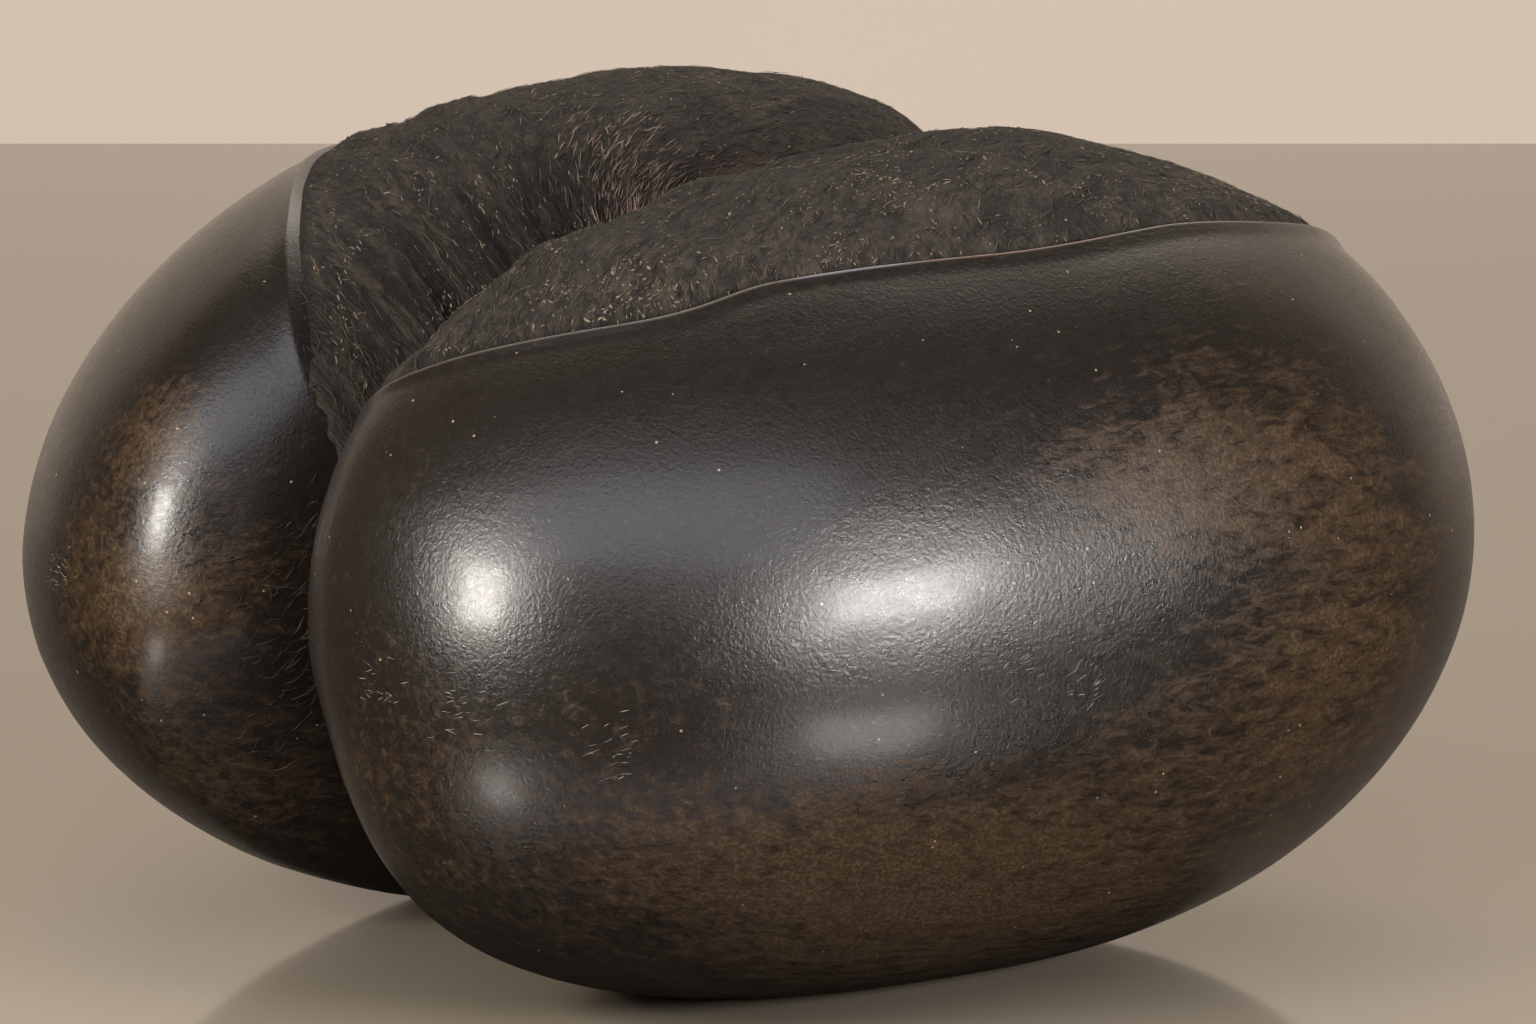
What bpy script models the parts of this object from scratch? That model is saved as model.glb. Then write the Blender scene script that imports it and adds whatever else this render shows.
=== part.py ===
"""Coco de mer seed: the whole double nut as one solid, lying on its flatter side.

X runs along the two lobes, from the open cleft at -X to the end where they are joined.
One lobe bulges towards -Y and the other towards +Y, and the fibrous face looks up, to +Z.
Metres. The nut rests on two small flat spots at z = 0, under the middle of its box.
"""
import math

import bmesh
import bpy
import numpy as np

# Where the nut's own centre sits in the part's frame: the middle of the box lies over the
# origin, and each lobe's lowest point is worn flat
CENTRE_X = 0.0001
CENTRE_Y = -0.0033
LOWEST_UNDER_CENTRE = 0.0950
WORN_FLAT = 0.0020
CENTRE_Z = LOWEST_UNDER_CENTRE - WORN_FLAT

# One lobe: lengths from its own middle, and turns in radians
FRONT_LOBE = {
    "half_length": 0.1500,
    "outer_half_width": 0.0998,
    "inner_half_width": 0.0850,
    "height_above": 0.0983,
    "height_below": 0.0952,
    "off_middle": 0.0528,        # from the plane between the lobes
    "splay": 0.1709,             # turn about Z that opens the cleft
    "pitch": 0.0598,             # turn about Y that lifts the joined end's top
    "wider_when_joined": 0.0488,
    "taller_when_joined": 0.0886,
    "free_end_power": 2.640,     # 2 is an ellipse, more is blunter
    "joined_end_power": 2.122,
    "section_power": 1.954,
    "bow": 0.0028,               # how far the ends lean away from the cleft
    # The fibrous face's edge: its turn about Y, in degrees, and its distance from the
    # plane between the lobes. 0 is the joined end, 90 the top and 180 the cleft's mouth.
    "face_edge": (
        (-90, 0.030), (-40, 0.028), (-10, 0.022), (8, 0.034), (25, 0.075), (46, 0.103),
        (85, 0.1136), (117, 0.1065), (139, 0.090), (150, 0.077), (154, 0.063), (158, 0.0445),
        (162, 0.026), (167, 0.0145), (182, 0.0118), (198, 0.022), (230, 0.030), (270, 0.030),
    ),
}
BACK_LOBE = dict(
    FRONT_LOBE,
    half_length=0.1543,
    outer_half_width=0.1027,
    height_above=0.1062,
    height_below=0.0946,
    off_middle=0.0544,
    splay=0.1383,
    pitch=0.0121,
    taller_when_joined=0.0774,
    free_end_power=2.141,
    joined_end_power=2.737,
    face_edge=(
        (-90, 0.030), (-40, 0.028), (-10, 0.022), (8, 0.034), (25, 0.072), (46, 0.100),
        (85, 0.113), (115, 0.101), (130, 0.084), (138, 0.063), (147, 0.038), (155, 0.0225),
        (163, 0.0128), (182, 0.0117), (198, 0.022), (230, 0.030), (270, 0.030),
    ),
)
FIELD_SCALE = 0.090              # turns a lobe's ratio into a length
HALVES_BLEND = 0.030             # length over which inner turns into outer, and lower into upper
ENDS_BLEND = 0.30                # the same for the two ends, as a share of the half length

# The cleft and the places where the lobes meet
JOIN_BLEND = 0.030
CLEFT_END_X = -0.030
CLEFT_HALF_WIDTH = 0.008
CLEFT_BLEND = 0.0328
UNDER_GROOVE_DEPTH = 0.020
UNDER_GROOVE_HALF_WIDTH = 0.025
UNDER_GROOVE_RISE = 0.060
END_NOTCH_DEPTH = 0.008
END_NOTCH_HALF_WIDTH = 0.030
END_NOTCH_START_X = 0.060
END_NOTCH_RISE = 0.060

# Relief, measured outwards from the shell. The lip is a row of distances outwards from
# the face's edge, with the height at each: face, groove, crest, shell.
LIP_DISTANCES = (-0.0065, -0.0016, 0.0000, 0.0030)
LIP_HEIGHTS = (0.0000, -0.0014, 0.0007, 0.0000)
LIP_TURNS = (10, 25, 153, 168)   # degrees: starts, whole, still whole, gone
EDGE_LEAN_STEP = 0.5             # degrees, to find how the edge leans
FACE_TURNS = (-20, 5, 185, 205)
FACE_SINK = 0.0006
FIBRE_START = 0.0030             # inside the edge
FIBRE_RISE = 0.0060
FIBRE_HEIGHT = 0.0016
FIBRE_SPACING = 0.012
FIBRE_LENGTH = 0.040
FAN_WIDTH = 0.045                # width of the fan of fibres where it starts, to each radian
FAN_GROWTH = 0.35                # and how much it widens along its length
COARSE_SHARE = 0.65              # of the fibres' height, with the rest in finer ones
FINER_ACROSS = 2.1
FINER_ALONG = 1.7
FINER_SHIFT = (7.3, 3.1)
CREASE_DEPTH = 0.0030
CREASE_HALF_WIDTH = 0.0080
CREASE_MIDDLE_X = 0.025
CREASE_HALF_LENGTH = 0.045
CREASE_RISE = 0.040
SCATTER = (127.1, 311.7, 43758.5453)

# The mesh: columns go round each lobe, and rings go from its outer pole to the middle plane
COLUMNS = 92
SHELL_RINGS = 10
FACE_RINGS = 17
LIP_RINGS = (0.0060, 0.0026, 0.0000, -0.0016, -0.0065)
WIDEST_STEPS = (0.05, 0.15)      # radians from the edge to its two inner rings, at most
RAY_START_X = 0.020
RAY_REACH = 0.320
LOOP_REACH = 0.250               # of the nut's outline in the middle plane
CROWDING = 0.30                  # columns stand closest round the crowded turn
CROWDED_TURN = math.radians(130)
BISECTIONS = 26
ARC_SAMPLES = 60

SHELL_COLOUR = (0.030, 0.020, 0.014)
SHELL_ROUGHNESS = 0.32


def ease(amount):
    """Rise from 0 to 1 with no kink at either end."""
    amount = np.clip(amount, 0, 1)
    return amount * amount * (3 - 2 * amount)


def smooth_min(first, second, blend):
    """The smaller of two fields, rounded over where they are nearly equal."""
    nearness = np.maximum(blend - np.abs(first - second), 0) / blend
    return np.minimum(first, second) - nearness * nearness * blend / 4


def smooth_max(first, second, blend):
    return -smooth_min(-first, -second, blend)


def lobe_field(lobe, x, y, z):
    """Below zero inside one lobe: a blunt egg, turned and bowed. y grows outwards."""
    y = y - lobe["off_middle"]
    cos, sin = math.cos(lobe["pitch"]), math.sin(lobe["pitch"])
    x, z = cos * x + sin * z, cos * z - sin * x
    cos, sin = math.cos(lobe["splay"]), math.sin(lobe["splay"])
    x, y = cos * x + sin * y, cos * y - sin * x
    along = x / lobe["half_length"]
    y = y - lobe["bow"] * along * along
    outer = 0.5 + 0.5 * np.tanh(y / HALVES_BLEND)
    upper = 0.5 + 0.5 * np.tanh(z / HALVES_BLEND)
    free = 0.5 - 0.5 * np.tanh(along / ENDS_BLEND)
    width = lobe["inner_half_width"] * (1 - outer) + lobe["outer_half_width"] * outer
    width = width * (1 + lobe["wider_when_joined"] * np.clip(along, -1, 1))
    height = lobe["height_below"] * (1 - upper) + lobe["height_above"] * upper
    height = height * (1 + lobe["taller_when_joined"] * np.clip(along, -1, 1))
    power = lobe["section_power"]
    section = (np.abs(y / width) ** power + np.abs(z / height) ** power) ** (1 / power)
    power = lobe["free_end_power"] * free + lobe["joined_end_power"] * (1 - free)
    return ((np.abs(along) ** power + section ** power) ** (1 / power) - 1) * FIELD_SCALE


def nut_field(x, y, z):
    """Below zero inside the nut: both lobes joined, less the cleft, the groove and the notch."""
    nut = smooth_min(lobe_field(FRONT_LOBE, x, -y, z), lobe_field(BACK_LOBE, x, y, z), JOIN_BLEND)
    cleft = np.hypot(np.maximum(x - CLEFT_END_X, 0), y) - CLEFT_HALF_WIDTH
    nut = smooth_max(nut, -cleft, CLEFT_BLEND)
    groove = np.exp(-(y / UNDER_GROOVE_HALF_WIDTH) ** 2) * ease(-z / UNDER_GROOVE_RISE)
    notch = np.exp(-(y / END_NOTCH_HALF_WIDTH) ** 2) * ease((x - END_NOTCH_START_X) / END_NOTCH_RISE)
    return nut + UNDER_GROOVE_DEPTH * groove + END_NOTCH_DEPTH * notch


def turn_about_y(x, z):
    """The turn round the line that the rays start from, from -90 to 270 degrees."""
    turn = np.degrees(np.arctan2(z, x - RAY_START_X))
    return np.where(turn < -90, turn + 360, turn)


def face_half_width(lobe, turn):
    """How far the fibrous face reaches from the middle plane: a curve through its points."""
    turns, widths = np.array(lobe["face_edge"]).T
    slopes = np.gradient(widths, turns)
    place = np.clip(np.searchsorted(turns, turn, side="right") - 1, 0, len(turns) - 2)
    span = turns[place + 1] - turns[place]
    share = (turn - turns[place]) / span
    leave = share * (1 - share) ** 2 * slopes[place]
    arrive = share ** 2 * (share - 1) * slopes[place + 1]
    rise = ease(share) * (widths[place + 1] - widths[place])
    return widths[place] + rise + (leave + arrive) * span


def distance_to_lip(lobe, x, y, z):
    """Distance across the surface from the face's edge: below zero on the fibrous face."""
    turn = turn_about_y(x, z)
    step = EDGE_LEAN_STEP
    width = face_half_width(lobe, turn)
    turned = math.radians(step) * np.hypot(x - RAY_START_X, z)
    lean = (face_half_width(lobe, turn + step) - face_half_width(lobe, turn - step)) / (2 * turned)
    return (np.abs(y) - width) / np.sqrt(1 + lean ** 2)


def strength(turn, turns):
    """From 0 up to 1 and back to 0 as the turn passes the four turns."""
    return ease((turn - turns[0]) / (turns[1] - turns[0])) * ease((turns[3] - turn) / (turns[3] - turns[2]))


def scatter(column, row):
    """A fixed number from 0 to 1 for each cell of a grid."""
    mixed = np.sin(column * SCATTER[0] + row * SCATTER[1]) * SCATTER[2]
    return mixed - np.floor(mixed)


def uneven(across, along):
    """Smooth unevenness from -1 to 1, one hill or hollow to each unit square."""
    column, row = np.floor(across), np.floor(along)
    right, up = ease(across - column), ease(along - row)
    low = scatter(column, row) * (1 - right) + scatter(column + 1, row) * right
    high = scatter(column, row + 1) * (1 - right) + scatter(column + 1, row + 1) * right
    return 2 * (low * (1 - up) + high * up) - 1


def fibre_relief(x, y):
    """Fibres that fan out from the cleft's end and then run along the lobes."""
    from_cleft = x - CLEFT_END_X
    spread = np.hypot(from_cleft, y)
    turn = np.arctan2(y, from_cleft)
    across = turn * (FAN_WIDTH + FAN_GROWTH * spread) / FIBRE_SPACING
    along = spread / FIBRE_LENGTH
    coarse = uneven(across, along)
    fine = uneven(FINER_ACROSS * across + FINER_SHIFT[0], FINER_ALONG * along + FINER_SHIFT[1])
    return FIBRE_HEIGHT * (COARSE_SHARE * coarse + (1 - COARSE_SHARE) * fine)


def relief(lobe, x, y, z):
    """Height of the lip, its groove, the fibres and the middle crease over the shell."""
    from_lip = distance_to_lip(lobe, x, y, z)
    turn = turn_about_y(x, z)
    lip = np.interp(from_lip, LIP_DISTANCES, LIP_HEIGHTS) * strength(turn, LIP_TURNS)
    on_face = ease((-from_lip - FIBRE_START) / FIBRE_RISE) * strength(turn, FACE_TURNS)
    off_crease = (x - CREASE_MIDDLE_X) / CREASE_HALF_LENGTH
    crease = np.exp(-(y / CREASE_HALF_WIDTH) ** 2) * np.exp(-off_crease ** 4) * ease(z / CREASE_RISE)
    return lip + on_face * (fibre_relief(x, y) - FACE_SINK) - CREASE_DEPTH * crease


def cast(lobe, side, directions, with_relief):
    """Where rays from the lobe's middle leave the nut, kept on the lobe's own side."""
    start = np.array([RAY_START_X, lobe["off_middle"], 0])
    near = np.zeros(len(directions))
    far = np.minimum(RAY_REACH, start[1] / np.maximum(-directions[:, 1], 1e-6))
    for _ in range(BISECTIONS):
        middle = (near + far) / 2
        x, y, z = (start + directions * middle[:, None]).T
        field = nut_field(x, side * y, z)
        if with_relief:
            field = field - relief(lobe, x, side * y, z)
        near = np.where(field < 0, middle, near)
        far = np.where(field < 0, far, middle)
    return start + directions * ((near + far) / 2)[:, None]


def bisect(low, high, is_before):
    """The places between low and high where the test turns false."""
    for _ in range(BISECTIONS):
        middle = (low + high) / 2
        before = is_before(middle)
        low = np.where(before, middle, low)
        high = np.where(before, high, middle)
    return (low + high) / 2


def ray_directions(turns, angles):
    """Unit rays: the angle is measured from the outer pole, the turn round the Y axis."""
    return np.stack([np.sin(angles) * np.cos(turns), np.cos(angles), np.sin(angles) * np.sin(turns)], -1)


def even_angles(lobe, side, turns, first, last, shares):
    """Angles between first and last that divide each column's length into these shares."""
    samples = np.linspace(0, 1, ARC_SAMPLES)[:, None]
    angles = first + (last - first) * samples
    points = np.array([cast(lobe, side, ray_directions(turns, angle), False) for angle in angles])
    lengths = np.cumsum(np.linalg.norm(np.diff(points, axis=0, prepend=points[:1]), axis=2), axis=0)
    lengths = lengths / lengths[-1]
    columns = np.arange(len(turns))
    found = []
    for share in shares:
        above = np.clip((lengths < share).sum(axis=0), 1, ARC_SAMPLES - 1)
        low, high = lengths[above - 1, columns], lengths[above, columns]
        part = (share - low) / (high - low)
        found.append(angles[above - 1, columns] * (1 - part) + angles[above, columns] * part)
    return found


def lobe_rings(lobe, side):
    """The lobe's surface as rings of points, from its outer pole to the middle plane."""
    share = 2 * math.pi * np.arange(COLUMNS) / COLUMNS
    lean = CROWDED_TURN - math.pi / 2
    turns = share + CROWDING * (np.cos(share - lean) - math.cos(lean))

    def inside_middle_plane(length):
        x, y, z = RAY_START_X + length * np.cos(turns), 0 * length, length * np.sin(turns)
        return nut_field(x, y, z) - relief(lobe, x, y, z) < 0

    def angle_at(distance):
        def is_outside(angle):
            x, y, z = cast(lobe, side, ray_directions(turns, angle), False).T
            return distance_to_lip(lobe, x, y, z) > distance
        return bisect(np.zeros(COLUMNS), last, is_outside)

    loop = bisect(np.zeros(COLUMNS), np.full(COLUMNS, LOOP_REACH), inside_middle_plane)
    last = math.pi - np.arctan2(loop, lobe["off_middle"])
    lip = [angle_at(distance) for distance in LIP_RINGS]
    lip[3:] = [np.minimum(angle, lip[2] + step) for angle, step in zip(lip[3:], WIDEST_STEPS)]
    shell_shares = np.arange(SHELL_RINGS) / SHELL_RINGS
    face_shares = np.arange(1, FACE_RINGS + 1) / FACE_RINGS
    angles = even_angles(lobe, side, turns, 0 * last, lip[0], shell_shares) + lip
    angles += even_angles(lobe, side, turns, lip[-1], last, face_shares)
    rings = [cast(lobe, side, ray_directions(turns, angle), True) * [1, side, 1] for angle in angles]
    rings[-1][:, 1] = 0
    return rings


def shell_material():
    material = bpy.data.materials.new("shell")
    material.use_nodes = True
    shader = material.node_tree.nodes["Principled BSDF"]
    shader.inputs["Base Color"].default_value = (*SHELL_COLOUR, 1)
    shader.inputs["Roughness"].default_value = SHELL_ROUGHNESS
    shader.inputs["Metallic"].default_value = 0
    return material


def build_seed(collection):
    """A sphere whose rings and columns are moved onto the nut."""
    front, back = lobe_rings(FRONT_LOBE, -1), lobe_rings(BACK_LOBE, 1)
    rings = np.array(front + back[-2::-1])
    rings = rings + [CENTRE_X, CENTRE_Y, CENTRE_Z]
    rings[..., 2] = np.maximum(rings[..., 2], 0)

    shape = bmesh.new()
    bmesh.ops.create_uvsphere(shape, u_segments=COLUMNS, v_segments=len(rings) - 1, radius=1)
    for vertex in shape.verts:
        x, y, z = vertex.co
        ring = round(math.acos(max(-1, min(1, z))) / math.pi * (len(rings) - 1))
        column = round(math.atan2(y, x) / (2 * math.pi) * COLUMNS) % COLUMNS
        vertex.co = rings[ring, column]
    bmesh.ops.triangulate(shape, faces=shape.faces, quad_method="SHORT_EDGE")
    mesh = bpy.data.meshes.new("seed")
    shape.to_mesh(mesh)
    shape.free()
    mesh.shade_smooth()
    mesh.materials.append(shell_material())
    seed = bpy.data.objects.new("seed", mesh)
    collection.objects.link(seed)
    return seed


def main():
    for thing in list(bpy.data.objects):
        bpy.data.objects.remove(thing)
    collection = bpy.data.collections.new("coco_de_mer_seed")
    bpy.context.scene.collection.children.link(collection)
    build_seed(collection)


main()
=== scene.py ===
# Coco de mer seed: the looks of the double nut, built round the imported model.
# Metres. X runs along the lobes from the open cleft to the joined end, and +Z comes out of the fibrous face.
# The near lobe bulges towards -Y and the far lobe towards +Y.

import math

import bpy
import numpy as np
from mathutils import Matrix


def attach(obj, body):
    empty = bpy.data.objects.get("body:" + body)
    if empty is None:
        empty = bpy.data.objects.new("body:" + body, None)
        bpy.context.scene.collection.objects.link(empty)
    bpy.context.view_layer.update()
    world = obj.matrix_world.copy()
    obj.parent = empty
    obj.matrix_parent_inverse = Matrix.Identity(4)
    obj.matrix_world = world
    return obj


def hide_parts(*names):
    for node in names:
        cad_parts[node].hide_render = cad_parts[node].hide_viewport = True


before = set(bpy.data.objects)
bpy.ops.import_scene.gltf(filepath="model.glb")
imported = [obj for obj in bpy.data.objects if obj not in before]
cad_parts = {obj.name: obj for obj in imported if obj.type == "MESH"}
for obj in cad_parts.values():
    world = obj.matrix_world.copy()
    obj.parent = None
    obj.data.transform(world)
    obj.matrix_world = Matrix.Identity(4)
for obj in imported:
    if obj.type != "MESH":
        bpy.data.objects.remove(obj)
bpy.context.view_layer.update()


# The nut's shape

nut = {
    "centre": (0.0001, -0.0033, 0.0930),  # the nut's own middle in the frame
    "fieldScale": 0.090,  # turns a lobe's ratio into a length
    "joinBlend": 0.030,
    "cleftEndX": -0.030,
    "cleftHalfWidth": 0.008,
    "cleftBlend": 0.0328,
    "grooveDepth": 0.020,  # the groove underneath
    "grooveHalfWidth": 0.025,
    "notchDepth": 0.008,  # the notch at the joined end
    "notchHalfWidth": 0.030,
    "notchFromX": (0.060, 0.060),  # where it starts, and over how much it deepens
    "grooveRise": 0.060,
    "sideBlend": 0.030,  # how softly a lobe's inner half passes into its outer half
    "endBlend": 0.3,  # and its free end into its joined end, in half lengths
    "rayStartX": 0.020,  # rays start from here, inside each lobe
    "rayReach": 0.320,
    "middleReach": 0.25,  # the same in the middle plane
    "halvings": 24,
}

# The fibrous face's edge: turn about Y in degrees and distance from the middle plane. Both lobes
# share its stretches round the joined end and deep in the cleft.
joinedEdge = ((-90, 0.030), (-40, 0.028), (-10, 0.022))
cleftEdge = ((198, 0.022), (230, 0.030), (270, 0.030))

nearLobe = {
    "side": -1,
    "halfLength": 0.1500,
    "outerHalfWidth": 0.0998,
    "innerHalfWidth": 0.0850,
    "heightAbove": 0.0983,
    "heightBelow": 0.0952,
    "offMiddle": 0.0528,
    "splay": 0.1709,
    "pitch": 0.0598,
    "widerWhenJoined": 0.0488,
    "tallerWhenJoined": 0.0886,
    "freeEndPower": 2.640,
    "joinedEndPower": 2.122,
    "sectionPower": 1.954,
    "bow": 0.0028,
    "lipShare": 1.0,  # of the lip's height
    "faceEdge": (
        *joinedEdge, (8, 0.034), (25, 0.075), (46, 0.103), (85, 0.1136), (117, 0.1065), (139, 0.090),
        (150, 0.077), (154, 0.063), (158, 0.0445), (162, 0.026), (167, 0.0145), (182, 0.0118), *cleftEdge,
    ),
}

farLobe = dict(
    nearLobe,
    side=1,
    halfLength=0.1543,
    outerHalfWidth=0.1027,
    heightAbove=0.1062,
    heightBelow=0.0946,
    offMiddle=0.0544,
    splay=0.1383,
    pitch=0.0121,
    tallerWhenJoined=0.0774,
    freeEndPower=2.141,
    joinedEndPower=2.737,
    lipShare=0.6,
    faceEdge=(
        *joinedEdge, (8, 0.034), (25, 0.072), (46, 0.100), (85, 0.113), (115, 0.101), (130, 0.084),
        (138, 0.063), (147, 0.038), (155, 0.0225), (163, 0.0128), (182, 0.0117), *cleftEdge,
    ),
)

relief = {
    "lipDistances": (-0.0065, -0.0016, 0, 0.0030),  # outwards from the face's edge
    "lipHeights": (0, -0.0014, 0.0007, 0),  # face, groove, crest, shell
    "lipTurns": (10, 25, 153, 168),  # degrees: starts, whole, still whole, gone
    "faceTurns": (-20, 5, 164, 182),
    "faceSink": 0.0006,
    "leanStep": 0.5,  # degrees to each side, to find how the face's edge leans
    "leastRadius": 0.03,
    "fibreHeight": 0.0016,
    "fibreSpacing": 0.012,
    "fibreLength": 0.040,
    "fanWidth": 0.045,  # of the fan of fibres at the cleft's end
    "fanGrowth": 0.35,
    "coarseShare": 0.65,
    "finer": (2.1, 1.7),  # how much closer the fine ridges lie, across and along
    "finerShift": (7.3, 3.1),
    "fibresFrom": (0.003, 0.006),  # they start this far inside the lip, and rise over this distance
    "creaseDepth": 0.0030,
    "creaseHalfWidth": 0.0080,
    "creaseMiddleX": 0.025,
    "creaseHalfLength": 0.045,
    "creaseRise": 0.040,
    "shellSink": 0.0036,  # how deep the shell passes under the face
    "sinkFrom": (0.0014, 0.003),
    "creaseSink": 3.5,  # and under the crease, in its depths
    "faceUnder": 0.0025,  # how deep the face passes under the shell
    "underOver": 0.0015,  # over this distance
    "crispEdge": 0.0015,
    "raggedEdge": 0.0025,
    "ragged": 0.3,
    "faceProud": 0.0004,  # where there is no lip
}


def ease(amount):
    # From 0 to 1 with no kink at either end: 3 t squared less 2 t cubed
    amount = np.clip(amount, 0, 1)
    return amount * amount * (3 - 2 * amount)


def growth(value, start, over):
    return ease((value - start) / over)


def smoothMin(first, second, blend):
    # The smaller field, less a quarter of the blend where the two are equal
    nearness = np.maximum(blend - np.abs(first - second), 0) / blend
    return np.minimum(first, second) - nearness * nearness * blend / 4


def lobeField(lobe, x, outward, z):
    # Below zero inside a lobe. In the lobe's own turned and bowed axes it is
    # ((along ^ p + section ^ p) ^ (1 / p) - 1) times the field's scale, where section is
    # (|y / width| ^ q + |z / height| ^ q) ^ (1 / q)
    y = outward - lobe["offMiddle"]
    cos, sin = math.cos(lobe["pitch"]), math.sin(lobe["pitch"])
    x, z = cos * x + sin * z, cos * z - sin * x
    cos, sin = math.cos(lobe["splay"]), math.sin(lobe["splay"])
    x, y = cos * x + sin * y, cos * y - sin * x
    along = x / lobe["halfLength"]
    y = y - lobe["bow"] * along * along
    outer = 0.5 + 0.5 * np.tanh(y / nut["sideBlend"])
    upper = 0.5 + 0.5 * np.tanh(z / nut["sideBlend"])
    free = 0.5 - 0.5 * np.tanh(along / nut["endBlend"])
    width = lobe["innerHalfWidth"] * (1 - outer) + lobe["outerHalfWidth"] * outer
    width = width * (1 + lobe["widerWhenJoined"] * np.clip(along, -1, 1))
    height = lobe["heightBelow"] * (1 - upper) + lobe["heightAbove"] * upper
    height = height * (1 + lobe["tallerWhenJoined"] * np.clip(along, -1, 1))
    power = lobe["sectionPower"]
    section = (np.abs(y / width) ** power + np.abs(z / height) ** power) ** (1 / power)
    power = lobe["freeEndPower"] * free + lobe["joinedEndPower"] * (1 - free)
    return ((np.abs(along) ** power + section ** power) ** (1 / power) - 1) * nut["fieldScale"]


def nutField(x, y, z):
    # Below zero inside the nut: both lobes joined, less the cleft, the groove underneath and the notch
    both = smoothMin(lobeField(nearLobe, x, -y, z), lobeField(farLobe, x, y, z), nut["joinBlend"])
    cleft = np.hypot(np.maximum(x - nut["cleftEndX"], 0), y) - nut["cleftHalfWidth"]
    both = -smoothMin(-both, cleft, nut["cleftBlend"])
    groove = np.exp(-(y / nut["grooveHalfWidth"]) ** 2) * ease(-z / nut["grooveRise"])
    notch = np.exp(-(y / nut["notchHalfWidth"]) ** 2) * growth(x, *nut["notchFromX"])
    return both + nut["grooveDepth"] * groove + nut["notchDepth"] * notch


def turnAboutY(x, z):
    # The turn round the line that the rays start from, from -90 to 270 degrees
    turn = np.degrees(np.arctan2(z, x - nut["rayStartX"]))
    return np.where(turn < -90, turn + 360, turn)


def faceHalfWidth(lobe, turn):
    # How far the face reaches from the middle plane: a Hermite curve through the edge's points
    turns, widths = np.array(lobe["faceEdge"]).T
    slopes = np.gradient(widths, turns)
    place = np.clip(np.searchsorted(turns, turn, side="right") - 1, 0, len(turns) - 2)
    span = turns[place + 1] - turns[place]
    share = (turn - turns[place]) / span
    leave = share * (1 - share) ** 2 * slopes[place]
    arrive = share ** 2 * (share - 1) * slopes[place + 1]
    return widths[place] + ease(share) * (widths[place + 1] - widths[place]) + (leave + arrive) * span


def distanceToLip(lobe, x, outward, z):
    # Distance across the surface from the face's edge, below zero on the face: (|y| - half width) over
    # the square root of 1 + lean squared
    turn = turnAboutY(x, z)
    step = relief["leanStep"]
    turned = math.radians(2 * step) * np.maximum(np.hypot(x - nut["rayStartX"], z), relief["leastRadius"])
    lean = (faceHalfWidth(lobe, turn + step) - faceHalfWidth(lobe, turn - step)) / turned
    return (np.abs(outward) - faceHalfWidth(lobe, turn)) / np.sqrt(1 + lean ** 2)


def strength(turn, turns):
    # From 0 up to 1 and back to 0 as the turn passes the four turns
    return ease((turn - turns[0]) / (turns[1] - turns[0])) * ease((turns[3] - turn) / (turns[3] - turns[2]))


def scatter(column, row):
    # A fixed number from 0 to 1 for each cell of a grid
    mixed = np.sin(column * 127.1 + row * 311.7) * 43758.5453
    return mixed - np.floor(mixed)


def uneven(across, along):
    # Smooth unevenness from -1 to 1, one hill or hollow to each unit square
    column, row = np.floor(across), np.floor(along)
    right, up = ease(across - column), ease(along - row)
    low = scatter(column, row) * (1 - right) + scatter(column + 1, row) * right
    high = scatter(column, row + 1) * (1 - right) + scatter(column + 1, row + 1) * right
    return 2 * (low * (1 - up) + high * up) - 1


def broadFibres(x, y):
    # Low ridges that fan out from the cleft's end and then run along the lobes
    fromCleft = x - nut["cleftEndX"]
    spread = np.hypot(fromCleft, y)
    across = np.arctan2(y, fromCleft) * (relief["fanWidth"] + relief["fanGrowth"] * spread)
    across = across / relief["fibreSpacing"]
    along = spread / relief["fibreLength"]
    closer, shift, share = relief["finer"], relief["finerShift"], relief["coarseShare"]
    fine = uneven(closer[0] * across + shift[0], closer[1] * along + shift[1])
    return relief["fibreHeight"] * (share * uneven(across, along) + (1 - share) * fine)


def noHeight(lobe, x, outward, z):
    # The nut without its relief
    return 0


def lipHeight(lobe, x, outward, z):
    # The lip and its groove: straight stretches between the profile's points
    height = np.interp(distanceToLip(lobe, x, outward, z), relief["lipDistances"], relief["lipHeights"])
    return height * strength(turnAboutY(x, z), relief["lipTurns"]) * lobe["lipShare"]


def crease(x, y, z):
    # The depth of the crease along the middle of the face: a bell across it and a flat-topped bell along it
    offCrease = (x - relief["creaseMiddleX"]) / relief["creaseHalfLength"]
    bell = np.exp(-(y / relief["creaseHalfWidth"]) ** 2) * np.exp(-offCrease ** 4)
    return relief["creaseDepth"] * bell * ease(z / relief["creaseRise"])


def shellSink(fromLip, x, y, z):
    # How far the shell passes under the fibrous face
    covered = ease(2 * strength(turnAboutY(x, z), relief["faceTurns"]) - 1)
    covered = covered * growth(-fromLip, *relief["sinkFrom"])
    return relief["shellSink"] * covered + relief["creaseSink"] * crease(x, y, z)


def faceHeight(lobe, x, outward, z):
    # The groove, the broad fibres and the middle crease
    onFace = growth(-distanceToLip(lobe, x, outward, z), *relief["fibresFrom"])
    onFace = onFace * strength(turnAboutY(x, z), relief["faceTurns"])
    fibres = onFace * (broadFibres(x, lobe["side"] * outward) - relief["faceSink"])
    return lipHeight(lobe, x, outward, z) + fibres - crease(x, outward, z)


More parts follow.
